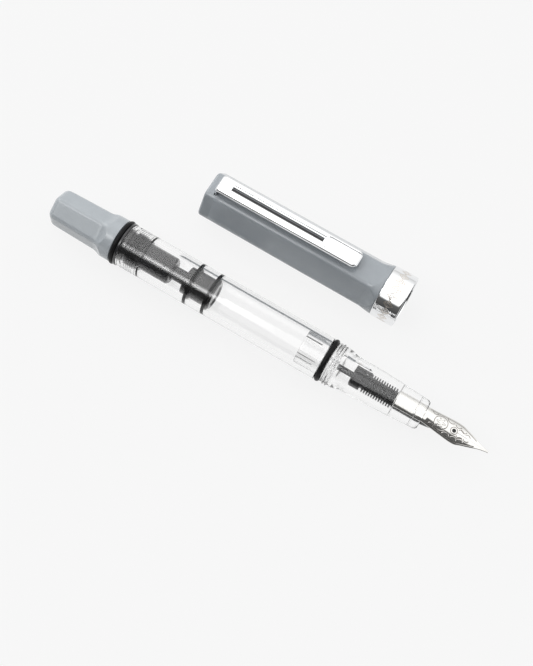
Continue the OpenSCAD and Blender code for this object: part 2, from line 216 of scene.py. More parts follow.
def rubber(name):
    """Black rubber with a fine dull grain."""
    look = Look(name)
    look.constants(Specular_IOR_Level=0.12)
    grain = look.noise(5000, 4)
    look.link("Base Color", look.mix(grain, (0.005, 0.005, 0.005), (0.010, 0.010, 0.011)))
    look.link("Roughness", look.ramp(grain, 0.28, 0.42))
    look.bump(grain, 0.000008)
    return look.material


GREY = moulded_plastic("grey_gloss_plastic", (0.272, 0.296, 0.318), (0.296, 0.320, 0.344), 0.18, coat=0.3)
# The knob's grey is the cap's grey plastic made lighter. This is painted light, for the brighter light that
# the knob's faces catch.
LIT_KNOB_GREY = moulded_plastic("grey_plastic_painted_lit_knob", (0.335, 0.362, 0.384), (0.362, 0.390, 0.412), 0.2, coat=0.3)
BLACK = moulded_plastic("black_gloss_plastic", (0.010, 0.010, 0.011), (0.017, 0.017, 0.019), 0.16, coat=0.45)
FEED_BLACK = moulded_plastic("feed_black_plastic", (0.014, 0.014, 0.015), (0.028, 0.028, 0.030), 0.34,
                             COARSE_GRAIN)
LINER = moulded_plastic("liner_black_plastic", (0.012, 0.012, 0.013), (0.022, 0.022, 0.024), 0.4,
                        COARSE_GRAIN)
CLEAR = clear_plastic("clear_barrel_plastic", 0.012)
CLEAR_GRIP = clear_plastic("clear_grip_plastic", 0.016)
RUBBER = rubber("black_rubber")
CHROME_TINTS = ((0.84, 0.85, 0.86), (0.90, 0.905, 0.91))
CHROME_ROUGHNESS = 0.045
CHROME = polished_metal("bright_chrome", *CHROME_TINTS, CHROME_ROUGHNESS)
PLAIN_STEEL = polished_metal("turned_steel", (0.48, 0.48, 0.48), (0.62, 0.62, 0.61), 0.28)
BAND_CHROME = engraved_metal("ornamented_chrome", *CHROME_TINTS, (0.55, 0.46, 0.36), CHROME_ROUGHNESS)
STEEL_TINTS = ((0.70, 0.69, 0.665), (0.80, 0.79, 0.765))
NIB_STEEL = engraved_metal("engraved_nib_steel", *STEEL_TINTS, (0.12, 0.10, 0.09), 0.09)


# ---------------------------- objects and cuts

def new_object(name, bm):
    """Puts a bmesh in the scene as an object."""
    mesh = bpy.data.meshes.new(name)
    bm.to_mesh(mesh)
    bm.free()
    piece = bpy.data.objects.new(name, mesh)
    bpy.context.scene.collection.objects.link(piece)
    return piece


def smooth_faces(bm, sharp):
    """Makes a bmesh smooth but for its edges sharper than the given angle in degrees."""
    limit = math.radians(sharp)
    for face in bm.faces:
        face.smooth = True
    for edge in bm.edges:
        edge.smooth = not (len(edge.link_faces) == 2 and edge.calc_face_angle(0) > limit)


def weigh_normals(piece):
    weighted = piece.modifiers.new("weighted_normals", "WEIGHTED_NORMAL")
    weighted.keep_sharp = True


def finish_mesh(name, bm, material, sharp=40):
    """Makes a piece of a bmesh."""
    bmesh.ops.recalc_face_normals(bm, faces=bm.faces)
    smooth_faces(bm, sharp)
    piece = new_object(name, bm)
    piece.data.materials.append(material)
    weigh_normals(piece)
    return piece


def mark_sharp(piece, sharp):
    """Smooths a cut piece again."""
    bm = bmesh.new()
    bm.from_mesh(piece.data)
    smooth_faces(bm, sharp)
    bm.to_mesh(piece.data)
    bm.free()


def cut_by(piece, cutters):
    """Cuts closed meshes out of a piece and deletes them."""
    for cutter in cutters:
        modifier = piece.modifiers.new("cut", "BOOLEAN")
        modifier.operation = "DIFFERENCE"
        modifier.solver = "EXACT"
        modifier.object = cutter
        bpy.context.view_layer.update()
        graph = bpy.context.evaluated_depsgraph_get()
        mesh = bpy.data.meshes.new_from_object(piece.evaluated_get(graph))
        piece.modifiers.clear()
        piece.data = mesh
        bpy.data.objects.remove(cutter)


def block(low, high):
    """A cutter: a closed box between two corners in metres."""
    bm = bmesh.new()
    bmesh.ops.create_cube(bm, size=1)
    for vertex in bm.verts:
        vertex.co = Vector([low[i] if vertex.co[i] < 0 else high[i] for i in range(3)])
    return new_object("cutter", bm)


def drill(axis, s, radius, low, high, sides=40):
    """A cutter: an upright round rod between two heights over an axis."""
    circle = [(s + radius * math.cos(a), radius * math.sin(a)) for a in turns(sides)]
    bm = bmesh.new()
    add_loft(bm, [[axis.place(x, y, h) for x, y in circle] for h in (low, high)])
    bmesh.ops.recalc_face_normals(bm, faces=bm.faces)
    return new_object("cutter", bm)


def settle(piece, body, slot, *nodes):
    """Puts a piece on its body, in place of its CAD nodes. The argument slot is not used."""
    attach(piece, body)
    if nodes:
        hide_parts(*nodes)


# ---------------------------- curves and profiles

FILLET_STEPS = 4
THREAD_ROWS_PER_TURN = 10
TRIM_BLEND = 0.12

# A thread's first and last station, the radius of its root and its crest, and its pitch
Thread = namedtuple("Thread", "first last root crest pitch")


def turns(count):
    """The angles of a full turn in equal steps."""
    return [TAU * i / count for i in range(count)]


def smooth_step(t):
    """Goes smoothly from 0 to 1 as t does, and stays there."""
    t = min(1.0, max(0.0, t))
    return t * t * (3 - 2 * t)


def smooth_min(a, b, k):
    """The smaller of two numbers, blended over k."""
    h = max(0.0, k - abs(a - b)) / k
    return min(a, b) - h * h * k / 4


def filleted(corners, closed=True):
    """Rounds the corners of a profile of (station, radius, fillet). The ends of an open one stay sharp."""
    out = []
    count = len(corners)
    for i, (s, r, size) in enumerate(corners):
        ends = not closed and i in (0, count - 1)
        if size == 0 or ends:
            out.append((s, r))
            continue
        here = Vector((s, r))
        before = Vector(corners[i - 1][:2]) - here
        after = Vector(corners[(i + 1) % count][:2]) - here
        size = min(size, before.length * 0.49, after.length * 0.49)
        a, b = here + before.normalized() * size, here + after.normalized() * size
        for t in [j / FILLET_STEPS for j in range(FILLET_STEPS + 1)]:
            p = a * (1 - t) ** 2 + here * 2 * t * (1 - t) + b * t ** 2
            out.append((p.x, p.y))
    return out


def thread_rows(thread):
    """Profile rows of a helical thread, run out at both ends."""
    first, last, root, crest, pitch = thread
    rows = []
    count = int((last - first) / pitch * THREAD_ROWS_PER_TURN)
    for j in range(count + 1):
        s = first + (last - first) * j / count
        run_out = smooth_step((s - first) / pitch) * smooth_step((last - s) / pitch)

        def radius(angle, s=s, run_out=run_out):
            wave = 0.5 - 0.5 * math.cos(TAU * (s / pitch + angle / TAU))
            return root + (crest - root) * run_out * smooth_step(wave * 1.3 - 0.15)
        rows.append((s, radius))
    return rows


def hexagon(apothem, edge_r, turn=0.0):
    """The radius all round of a hexagon with rounded edges. A face is at the angle turn."""
    sixth = TAU / 6
    corner = (apothem - edge_r) / math.cos(sixth / 2)
    flat_half = math.atan((apothem - edge_r) * math.tan(sixth / 2) / apothem)

    def radius(angle):
        off = abs((angle - turn + sixth / 2) % sixth - sixth / 2)
        if off <= flat_half:
            return apothem / math.cos(off)
        slant = sixth / 2 - off
        beside = corner * math.sin(slant)
        return corner * math.cos(slant) + math.sqrt(max(0.0, edge_r ** 2 - beside ** 2))
    return radius


def trimmed_hexagon(apothem, edge_r, round_r, turn=0.0):
    """A hexagon trimmed by a round body, which leaves scalloped ends on its faces."""
    flat = hexagon(apothem, edge_r, turn)
    return lambda angle: smooth_min(flat(angle), round_r, TRIM_BLEND)


def rounded_end(first, apothem, edge_r, fillet, steps, turn=0.0):
    """Profile rows of a hexagon's rounded rear end, from its flat to its full size."""
    rows = []
    for i in range(steps + 1):
        a = TAU / 4 * i / steps
        inset = fillet * (1 - math.sin(a))
        outline = hexagon(apothem - inset, edge_r - inset * 0.6, turn)
        rows.append((first + fillet * (1 - math.cos(a)), outline))
    return rows


def keyed(radius, flat):
    """A round with two flats, facing up and down."""
    return lambda angle: min(radius, flat / max(1e-6, abs(math.cos(angle))))


# ---------------------------- turned and lofted skins

def bridge(bm, uv, one, other, v_one, v_other):
    """Faces between two rings. A ring of one vertex is a pole."""
    count = max(len(one), len(other))
    for i in range(count):
        k = (i + 1) % count
        corners = [(one[i % len(one)], i, v_one), (other[i % len(other)], i, v_other)]
        if len(other) > 1:
            corners.append((other[k], i + 1, v_other))
        if len(one) > 1:
            corners.append((one[k], i + 1, v_one))
        face = bm.faces.new([corner[0] for corner in corners])
        for loop, (_, u, v) in zip(face.loops, corners):
            loop[uv].uv = (u / count, v / 10)


def add_turned(bm, axis, profile, segments, closed):
    """Adds a turned shape. Its profile is (station, radius) rows; a radius may be a function of the angle."""
    uv = bm.loops.layers.uv.verify()
    rings = []
    for s, radius in profile:
        if radius == 0:
            rings.append([bm.verts.new(axis.point(s, 0, 0))])
            continue
        at = radius if callable(radius) else (lambda angle, r=radius: r)
        rings.append([bm.verts.new(axis.point(s, at(a), a)) for a in turns(segments)])
    last = len(rings) if closed else len(rings) - 1
    for j in range(last):
        k = (j + 1) % len(rings)
        bridge(bm, uv, rings[j], rings[k], profile[j][0], profile[k][0])


def turned(name, axis, profile, material, segments=160, closed=True, sharp=40):
    """A turned piece. A profile that isn't closed starts and ends on the axis."""
    bm = bmesh.new()
    add_turned(bm, axis, profile, segments, closed)
    return finish_mesh(name, bm, material, sharp)


def add_skin(bm, rings):
    """Adds faces over rings of vertices and closes both ends."""
    for one, other in zip(rings, rings[1:]):
        for i in range(len(one)):
            k = (i + 1) % len(one)
            bm.faces.new((one[i], one[k], other[k], other[i]))
    bm.faces.new(rings[0])
    bm.faces.new(list(reversed(rings[-1])))


def add_loft(bm, rings):
    """Adds a closed skin through rings of points in metres."""
    add_skin(bm, [[bm.verts.new(p) for p in ring] for ring in rings])


# ---------------------------- barrel and grip section

BARREL_R = 6.0
BORE_R = 4.65
BARREL_THREAD = Thread(24.0, 27.6, 4.85, 4.90, 0.6)
GRIP_THREAD = Thread(84.8, 87.4, 5.62, 6.0, 0.9)

TAIL_R = BORE_R - 0.02
TAIL_BORE = 3.62
SLOT_COUNT, SLOT_DEPTH, SLOT_LENGTH = 6, 0.3, 4.8
SLOT_HALF, FIRST_SLOT = math.radians(7.5), math.radians(52)


def make_barrel():
    """The clear tube, threaded inside its rear end, with a chamfered undercut ahead of the thread."""
    rear, front = PEN.ends("barrel")
    first, last, root = BARREL_THREAD[:3]
    undercut_r, undercut_end, bore_from, edge = 5.1, 28.4, 28.85, 0.02
    rows = filleted([(rear, root, 0), (rear, BARREL_R, 0.18), (front, BARREL_R, 0.22), (front, BORE_R, 0.12),
                     (bore_from, BORE_R, edge), (undercut_end, undercut_r, edge),
                     (last + 0.4, undercut_r, edge), (last + 0.2, root, edge)], closed=False)
    rows += reversed(thread_rows(BARREL_THREAD))
    rows += [(first - 0.25, root), (first - 0.5, root + 0.22), (first - 0.75, root)]
    piece = turned("barrel_tube", PEN, rows, CLEAR, 192, sharp=30)
    settle(piece, "pen", "clear_plastic", "barrel")


def slotted(radius, depth):
    """The radius all round of the grip section's tail, with slots of a depth."""
    spacing = TAU / SLOT_COUNT

    def at(angle):
        off = (angle - FIRST_SLOT + spacing / 2) % spacing - spacing / 2
        return radius - depth if abs(off) < SLOT_HALF else radius
    return at


def grip_tail(tail, seat):
    """The grip section's outside behind its thread: the slotted tail and the front O-ring's seat."""
    slot_end = tail + SLOT_LENGTH
    return [(tail + 0.15, TAIL_BORE), (tail, slotted(3.78, 0.1)), (tail, slotted(TAIL_R - 0.12, SLOT_DEPTH)),
            (tail + 0.12, slotted(TAIL_R, SLOT_DEPTH)), (slot_end, slotted(TAIL_R, SLOT_DEPTH)),
            (slot_end + 0.02, TAIL_R), (seat - 0.1, TAIL_R), (seat, TAIL_R + 0.1),
            (seat, 5.45), (seat + 0.08, GRIP_THREAD.root)]


def grip_outline():
    """The grip's outside from the cap thread to its rolled mouth."""
    taper = [(87.5, 5.72), (88.3, 5.66), (89.4, 5.36), (90.4, 5.10)]
    roll_from, roll_length, roll_r, inner = 111.3, 1.3, 0.70, 3.56
    waist = [(92.0, 5.05), (96.0, 4.98), (100.0, 4.87), (103.5, 4.70), (107.0, 4.47), (109.9, 4.30),
             (roll_from, inner + roll_r)]
    quarter = [TAU / 4 * i / 6 for i in range(1, 7)]
    roll = [(roll_from + roll_length * math.sin(a), inner + roll_r * math.cos(a)) for a in quarter]
    return taper + waist + roll


def grip_bore(mouth):
    """The grip section's inside: the feed's seat with a ring groove, a wider chamber and the ink hole."""
    seat_r, groove_r, chamber_r, hole_r = 2.95, 3.08, 3.3, 0.9
    chamber_from, chamber_to, wall_from = 87.5, 104.4, 84.9
    corners = [(mouth, 3.4, 0.2), (mouth - 0.35, 3.02, 0.15), (mouth - 2.2, seat_r, 0),
               (mouth - 2.25, groove_r, 0.05), (mouth - 2.6, groove_r, 0.05), (mouth - 2.65, seat_r, 0),
               (chamber_to + 0.1, seat_r, 0.1), (chamber_to, chamber_r, 0.1), (chamber_from, chamber_r, 0.25),
               (chamber_from, hole_r, 0.15), (wall_from, hole_r, 0.2), (wall_from, TAIL_BORE, 0.3)]
    return filleted(corners, closed=False)


def make_grip_section():
    tail, mouth = PEN.ends("grip_section")
    seat = PEN.ends("section_o_ring")[1] + 0.1
    rows = grip_tail(tail, seat) + thread_rows(GRIP_THREAD) + grip_outline() + grip_bore(mouth)
    piece = turned("grip_section_shell", PEN, rows, CLEAR_GRIP, 192, sharp=50)
    settle(piece, "pen", "clear_plastic", "grip_section")


def make_o_ring(name, node, body):
    """A rubber ring whose wire and outer radius are half its node's length and height."""
    low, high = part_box(node)
    at = (low.x + high.x) / 2 / MM - PEN.x
    out_r, wire_r = (high.z - low.z) / 2 / MM, (high.x - low.x) / 2 / MM
    rows = [(at + wire_r * math.sin(a), out_r - wire_r + wire_r * math.cos(a)) for a in turns(28)]
    settle(turned(name, PEN, rows, RUBBER), body, "black_rubber", node)


# ---------------------------- filling mechanism

def make_connector():
    """The black ring that closes the barrel's rear end: neck, flange, plain step and thread."""
    rear, front = PEN.ends("connector")
    flange = PEN.ends("posting_o_ring")[1] + 0.15
    bore, neck_r, flange_r, flange_w, step_r = 3.3, 4.2, 6.2, 0.65, 4.45
    rows = filleted([(rear, bore, 0.1), (rear, neck_r, 0.15), (flange, neck_r, 0), (flange, flange_r, 0.15),
                     (flange + flange_w, flange_r, 0.15), (flange + flange_w, step_r, 0.05)], closed=False)
    rows += [(flange + 1.5, step_r), (flange + 1.6, 4.3), (flange + 2.2, 4.3), (flange + 2.3, 4.4)]
    root = BARREL_THREAD.root
    rows += thread_rows(BARREL_THREAD._replace(root=root - 0.4, crest=root - 0.05))
    rows += filleted([(front, 4.35, 0.1), (front, bore, 0.1)], closed=False)
    piece = turned("connector_body", PEN, rows, BLACK, sharp=50)
    settle(piece, "pen", "black_plastic", "connector")


def make_guide_sleeve():
    """The black sleeve with a keyed bore, which keeps the piston rod from turning."""
    rear, front = PEN.ends("guide_sleeve")
    bore, wide_r, tube_r = keyed(1.97, 1.67), 4.3, 3.8
    rows = filleted([(rear, wide_r, 0.1), (rear + 0.7, wide_r, 0.08), (rear + 0.75, tube_r, 0.05),
                     (front - 0.5, tube_r, 0.15), (front - 0.1, 3.45, 0.1), (front, 3.3, 0.1)])
    rows += [(front, 2.4), (front - 0.25, 2.3), (front - 0.35, bore), (rear, bore)]
    piece = turned("guide_sleeve_body", PEN, rows, BLACK)
    settle(piece, "pen", "black_plastic", "guide_sleeve")


PISTON_GROOVE_R, PISTON_R = 3.4, 3.95
SEAL_W, SEAL_LIP_R = 1.2, BORE_R + 0.012


def make_piston_rod():
    rear, front = PEN.ends("piston_rod")
    rod, bore = keyed(1.9, 1.6), 1.3
    rows = [(rear, bore), (rear, keyed(1.8, 1.5)), (rear + 0.1, rod), (front, rod), (front, bore)]
    piece = turned("piston_rod_body", PEN, rows, BLACK, 128, sharp=25)
    settle(piece, "piston", "black_plastic", "piston_rod")


def make_piston_head():
    """The head with a groove for each seal, a socket for the rod behind and a shallow dish in front."""
    rear, front = PEN.ends("piston_head")
    socket_end, socket_r = PEN.ends("piston_rod")[1] + 0.05, 1.95
    rear_at, front_at = PEN.ends("rear_seal")[0], PEN.ends("front_seal")[0]
    back_r, front_r = PISTON_R - 0.1, PISTON_R + 0.05
    corners = [(rear, socket_r, 0.1), (rear, back_r, 0.25),
               (rear_at, back_r, 0.1), (rear_at, PISTON_GROOVE_R, 0),
               (rear_at + SEAL_W, PISTON_GROOVE_R, 0), (rear_at + SEAL_W, PISTON_R, 0.1),
               (front_at, PISTON_R, 0.1), (front_at, PISTON_GROOVE_R, 0),
               (front_at + SEAL_W, PISTON_GROOVE_R, 0), (front_at + SEAL_W, front_r, 0.1),
               (front, front_r, 0.2), (front, 3.0, 0.1), (front - 0.3, 2.8, 0.1), (front - 0.3, 0, 0)]
    rows = [(socket_end, 0), (socket_end, socket_r)] + filleted(corners, closed=False)
    piece = turned("piston_head_body", PEN, rows, BLACK, closed=False)
    settle(piece, "piston", "black_plastic", "piston_head")


def make_seal(node):
    """A rubber seal: a ring in the piston's groove with a lip that runs on the barrel's bore."""
    at = PEN.ends(node)[0]
    end, floor_r = at + SEAL_W, PISTON_GROOVE_R + 0.02
    rows = filleted([(at + 0.02, floor_r, 0), (at + 0.02, PISTON_R, 0.1), (at + 0.02, SEAL_LIP_R - 0.2, 0.08),
                     (at + 0.06, SEAL_LIP_R, 0.03), (end - 0.2, SEAL_LIP_R, 0.03),
                     (end - 0.08, SEAL_LIP_R - 0.25, 0.08), (end - 0.05, PISTON_R + 0.02, 0.05),
                     (end - 0.03, PISTON_R, 0), (end - 0.03, floor_r, 0)])
    settle(turned(node + "_lip", PEN, rows, RUBBER), "piston", "black_rubber", node)


# ---------------------------- knob

KNOB_APOTHEMS = (4.674, 4.96)
KNOB_EDGE = 1.6
KNOB_TURN = math.radians(30)
KNOB_HEX_END, KNOB_FLARE_END = 14.2, 17.4
KNOB_ROUND_R, COLLAR_R = 5.56, 6.1


def knob_outline(s):
    """The knob's hexagon at a station, flaring into its collar."""
    rear, hex_end = KNOB_APOTHEMS
    straight = rear + (hex_end - rear) * min(s, KNOB_HEX_END + 1.5) / KNOB_HEX_END
    t = max(0.0, (s - KNOB_HEX_END) / (KNOB_FLARE_END - KNOB_HEX_END))
    return straight + 1.12 * t ** 2.1


def knob_round(s):
    """The radius of the round body that trims the flare."""
    return KNOB_ROUND_R + (COLLAR_R - KNOB_ROUND_R) * smooth_step((s - KNOB_HEX_END + 1.0) / 4.2)


def knob_inside():
    """The collar, the neck that carries the O-ring, and the stepped bore."""
    collar_end = PEN.ends("posting_o_ring")[0] - 0.1
    neck_r, neck_end = 5.1, collar_end + 1.35
    mouth_r, bore, mouth_from, bore_from = 4.6, 3.25, 12.8, 2.5
    corners = [(18.4, COLLAR_R, 0), (collar_end, COLLAR_R, 0.3), (collar_end, neck_r, 0.05),
               (neck_end, neck_r, 0.1), (neck_end, mouth_r, 0.1), (mouth_from, mouth_r - 0.1, 0.2),
               (mouth_from, bore, 0.1), (bore_from, bore, 0.2), (bore_from, 0, 0)]
    return filleted(corners, closed=False)


def make_knob():
    fillet, fillet_steps = 1.9, 12
    flare_from, flare_to = KNOB_HEX_END - 1.2, 18.2
    rows = [(0, 0), (0.01, 1.6)]
    rows += rounded_end(0.03, KNOB_APOTHEMS[0], KNOB_EDGE, fillet, fillet_steps, KNOB_TURN)
    for i in range(1, 12):
        s = fillet + (flare_from - fillet) * i / 11
        rows.append((s, hexagon(knob_outline(s), KNOB_EDGE, KNOB_TURN)))
    for i in range(1, 37):
        s = flare_from + (flare_to - flare_from) * i / 36
        rows.append((s, trimmed_hexagon(knob_outline(s), KNOB_EDGE, knob_round(s), KNOB_TURN)))
    # The knob's lighter grey is painted light on the cap's grey plastic.
    piece = turned("knob_body", PEN, rows + knob_inside(), LIT_KNOB_GREY, 288, closed=False, sharp=50)
    settle(piece, "turning_knob", "grey_plastic", "knob")


# ---------------------------- cap

CAP_APOTHEMS = (6.3, 6.45)
CAP_FLARE = (49.6, 53.2)
CAP_EDGE = 1.8
CAP_CORNER_R, CAP_ROUND_R = 7.42, 7.22
BAND_FIRST, BAND_LAST = CAP.ends("cap_band")
BAND_R = (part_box("cap_band")[1].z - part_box("cap_band")[0].z) / 2 / MM - 0.01
LOZENGES, LOZENGE_HALF, LOZENGE_DEPTH = 20, 1.5, 0.035


def cap_apothem(s):
    """The cap's hexagon at a station, flaring towards its band."""
    rear, front = CAP_APOTHEMS
    grown = rear + (front - rear) * min(s, CAP_FLARE[1]) / CAP_FLARE[0]
    t = max(0.0, (s - CAP_FLARE[0]) / (CAP_FLARE[1] - CAP_FLARE[0]))
    return grown + 0.72 * t ** 2


def cap_round(s):
    """The radius of the round body that trims the flare."""
    return CAP_CORNER_R + (CAP_ROUND_R - CAP_CORNER_R) * smooth_step((s - CAP_FLARE[0] + 0.5) / 3.4)


def cap_inside(screw_r):
    """The cap's inside, from the spigot under the band back to the screw's hole."""
    spigot_r, mouth_r, bore = 7.0, 6.5, 5.7
    spigot_end, bore_to, bore_from = BAND_FIRST + 2.25, 52.55, 5.55
    corners = [(BAND_FIRST - 0.05, CAP_ROUND_R - 0.08, 0), (BAND_FIRST - 0.05, spigot_r, 0.02),
               (spigot_end, spigot_r, 0.1), (spigot_end, mouth_r, 0.1), (bore_to, mouth_r, 0.1),
               (bore_to, bore, 0.1), (bore_from, bore, 0.3), (bore_from, screw_r, 0.1)]
    return filleted(corners, closed=False)


def make_cap_shell():
    rear = CAP.ends("cap_shell")[0]
    screw_r = 2.25
    flare_from, flare_to = CAP_FLARE[0] - 0.4, BAND_FIRST - 0.12
    rows = [(rear, screw_r), (rear, hexagon(cap_apothem(rear) - 0.004, CAP_EDGE))]
    for i in range(16):
        s = rear + 0.004 + (CAP_FLARE[0] - 0.6 - rear) * i / 15
        rows.append((s, hexagon(cap_apothem(s), CAP_EDGE)))
    for i in range(1, 29):
        s = flare_from + (flare_to - flare_from) * i / 28
        rows.append((s, trimmed_hexagon(cap_apothem(s), CAP_EDGE, cap_round(s))))
    piece = turned("cap_body", CAP, rows + cap_inside(screw_r), GREY, 288, sharp=50)
    settle(piece, "cap", "grey_plastic", "cap_shell")


def make_finial():
    """The cap's end plate, hollow for the screw and the washer, with a notch for the clip's leg."""
    front, recess, recess_r = 3.1, 2.3, 5.36
    stub_end, stub_r, hole_from, hole_r = 5.4, 2.2, 1.4, 1.25
    rows = [(0, 0), (0, 3.0)] + rounded_end(0, cap_apothem(0), CAP_EDGE, 0.8, 8)
    rows.append((front + 0.045, hexagon(cap_apothem(front), CAP_EDGE)))
    rows += filleted([(front + 0.04, recess_r, 0.02), (recess, recess_r, 0.05), (recess, stub_r, 0.05),
                      (stub_end, stub_r, 0.1), (stub_end, hole_r, 0.05), (hole_from, hole_r, 0.05),
                      (hole_from, 0, 0)], closed=False)
    piece = turned("finial_body", CAP, rows, GREY, 288, closed=False, sharp=50)
    low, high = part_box("clip")
    rear_corner = (CAP.x * MM + recess * MM, low.y - 0.1 * MM, (CAP.z + 5.0) * MM)
    cut_by(piece, [block(rear_corner, (CAP.x * MM + 4 * MM, high.y + 0.1 * MM, high.z))])
    settle(piece, "cap", "grey_plastic", "finial")


def make_inner_cap():
    """The black liner: a closed tube over the nib, then a wider part with the cap's thread."""
    rear, front = CAP.ends("inner_cap")
    step, mouth = 52.6, BAND_LAST - 0.3
    tube_r, wide_r, lip_r, lip_bore = 5.65, 6.45, 6.9, 6.75
    rows = filleted([(rear, 0, 0), (rear, tube_r, 0.2), (step, tube_r, 0), (step, wide_r, 0.1),
                     (front + 0.15, wide_r, 0.05), (front + 0.15, lip_r, 0.05), (mouth, lip_r, 0.03),
                     (mouth, lip_bore, 0.05), (front, lip_bore, 0.1), (front, 6.1, 0.15)], closed=False)
    rows += reversed(thread_rows(Thread(step + 0.5, front - 0.4, 6.07, 6.32, GRIP_THREAD.pitch)))
    nib_room_r, nib_room_from = 5.25, 7.8
    rows += filleted([(step + 0.4, 6.05, 0.1), (step + 0.2, nib_room_r, 0.2),
                      (nib_room_from, nib_room_r, 0.6), (nib_room_from, 0, 0)], closed=False)
    piece = turned("inner_cap_liner", CAP, rows, LINER, closed=False, sharp=50)
    settle(piece, "cap", "liner_plastic", "inner_cap")


def band_relief(s, angle):
    """The band's ornament, 0 bare and 1 cut: a row of lozenges, each with a smaller one inside it."""
    across = abs((angle * LOZENGES / TAU) % 1 - 0.5) * 2
    along = abs(s - (BAND_FIRST + BAND_LAST) / 2) / LOZENGE_HALF
    edge = min(abs(across + along - 0.86), abs(across + along - 0.42))
    return smooth_step(1.2 - edge / 0.11)


def engrave_band(piece):
    """Marks the cut lines of the ornament on the band's outside."""
    layer = piece.data.attributes.new("engraving", "FLOAT", "POINT")
    for vertex in piece.data.vertices:
        x, y, z = vertex.co / MM
        angle = math.atan2(y - CAP.y, z - CAP.z)
        outside = math.hypot(y - CAP.y, z - CAP.z) > BAND_R - 0.1
        layer.data[vertex.index].value = band_relief(x - CAP.x, angle) * outside


def make_cap_band():
    inner, socket_r, socket_end = 6.93, 7.06, BAND_LAST - 4.4
    face_from, face_rows = BAND_FIRST + 0.4, 64
    face_length = BAND_LAST - BAND_FIRST - 1.1
    rows = [(BAND_FIRST, socket_r), (BAND_FIRST, BAND_R - 0.2), (BAND_FIRST + 0.06, BAND_R - 0.06),
            (BAND_FIRST + 0.2, BAND_R)]
    for i in range(face_rows + 1):
        s = face_from + face_length * i / face_rows
        rows.append((s, lambda angle, s=s: BAND_R - LOZENGE_DEPTH * band_relief(s, angle)))
    mouth = [(BAND_LAST - 0.5, BAND_R, 0), (BAND_LAST, BAND_R - 0.02, 0.25), (BAND_LAST, inner, 0.12),
             (socket_end, inner, 0.05), (socket_end, socket_r, 0)]
    rows += filleted(mouth, closed=False)
    piece = turned("cap_band_ring", CAP, rows, BAND_CHROME, 600, sharp=60)
    engrave_band(piece)
    settle(piece, "cap", "chrome", "cap_band")


# ---------------------------- clip

CLIP_HALF = (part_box("clip")[1].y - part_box("clip")[0].y) / 2 / MM
CLIP_END = CAP.ends("clip")[1]
CLIP_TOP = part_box("clip")[1].z / MM - CAP.z
CLIP_ROLL = 0.7
CLIP_THICK, LEG_THICK = 0.45, 0.35
CLIP_CORNER = 1.4
CLIP_SHARP = 35
LEG_AT, RELIEF_FROM = 2.7, 3.8
SLOT_FROM, SLOT_TO, SLOT_SIDE = 6.45, 34.3, 0.625
PANEL_RIM, PANEL_DEPTH, TAB_DEPTH, DEEPEST = 0.5, 0.2, 0.42, 0.75
TOE_AT, TOE_DEPTH, TOE_R, TOE_SLOPE = 41.2, 2.12, 2.0, 1.3


def clip_line():
    """The clip's middle line as (station, height over the cap's axis), from its root to its free end."""
    middle = CLIP_TOP - CLIP_THICK
    bend, root, leg_step, tip = 1.2, 5.5, 0.3, 1.5
    arm_from, arm_to = LEG_AT + bend, CLIP_END - tip
    quarter = [TAU / 4 * i / 8 for i in range(9)]
    rows = [(LEG_AT, root + leg_step * i) for i in range(int((middle - bend - root) / leg_step) + 1)]
    rows += [(LEG_AT + bend * (1 - math.cos(a)), middle - bend + bend * math.sin(a)) for a in quarter]
    rows += [(arm_from + (arm_to - arm_from) * i / 240, middle) for i in range(1, 241)]
    rows += [(CLIP_END - tip * (1 - math.sin(TAU / 4 * i / 24)), middle) for i in range(1, 25)]
    return rows


def clip_columns():
    """Places across the clip, from one long edge to the other, close together where its relief turns."""
    panel = SLOT_SIDE + PANEL_RIM
    roll = [CLIP_HALF - CLIP_ROLL * (1 - math.cos(TAU / 4 * i / 9)) for i in range(1, 10)]
    beside_roll = [CLIP_HALF - CLIP_ROLL - 0.1 * i for i in (1, 2, 3)]
    rim = [panel + 0.06 * i for i in (2, 1, 0, -1, -2)]
    slot = [SLOT_SIDE + 0.12, SLOT_SIDE + 0.02, SLOT_SIDE / 2]
    side = sorted({CLIP_HALF, CLIP_HALF - 0.001, *roll, *beside_roll, *rim, *slot}, reverse=True)
    return [-y for y in side] + [0.0] + side[::-1]


def clip_width(s):
    """Half the clip's width at a station, rounded at the end's corners."""
    over = max(0.0, s - (CLIP_END - CLIP_CORNER))
    return CLIP_HALF - CLIP_CORNER + math.sqrt(max(0.0, CLIP_CORNER ** 2 - over ** 2))


def edge_drop(distance):
    """How far a rolled edge has fallen at a distance in from it."""
    inside = max(0.0, CLIP_ROLL - max(0.0, distance))
    return CLIP_ROLL - math.sqrt(CLIP_ROLL ** 2 - inside ** 2)


def clip_lift(s, y, width):
    """The top's relief: the shallow panel round the slot, the sunk tab at the end and the rolled edges."""
    if s <= RELIEF_FROM:
        return -edge_drop(width - abs(y))
    outside = max(SLOT_FROM - s, s - SLOT_TO, abs(y) - SLOT_SIDE)
    panel = -PANEL_DEPTH * smooth_step((PANEL_RIM + 0.12 - outside) / 0.24)
    in_tab = smooth_step((CLIP_HALF - CLIP_ROLL - 0.05 - abs(y)) / 0.2)
    tab = -TAB_DEPTH * smooth_step((s - SLOT_TO - 0.9) / 0.25) * in_tab
    return max(-DEEPEST, panel + tab - edge_drop(width - abs(y)) - edge_drop(CLIP_END - s))


def clip_ring(bm, before, here, after, columns):
    """A ring of vertices round the clip at a point of its middle line."""
    along = Vector((after[0] - before[0], after[1] - before[1])).normalized()
    normal = Vector((-along.y, along.x))
    s = here[0]
    thick = LEG_THICK if s < LEG_AT + 0.1 else CLIP_THICK
    width = max(clip_width(s), 0.3)
    top, bottom = [], []
    for column in columns:
        y = column * width / CLIP_HALF
        toe = TOE_DEPTH * smooth_step((TOE_R - math.hypot(s - TOE_AT, y)) / TOE_SLOPE)
        up = Vector(here) + normal * (thick + clip_lift(s, y, width))
        down = Vector(here) - normal * (thick + toe)
        top.append(bm.verts.new(CAP.place(up.x, y, up.y)))
        bottom.append(bm.verts.new(CAP.place(down.x, y, down.y)))
    return top + bottom[::-1]


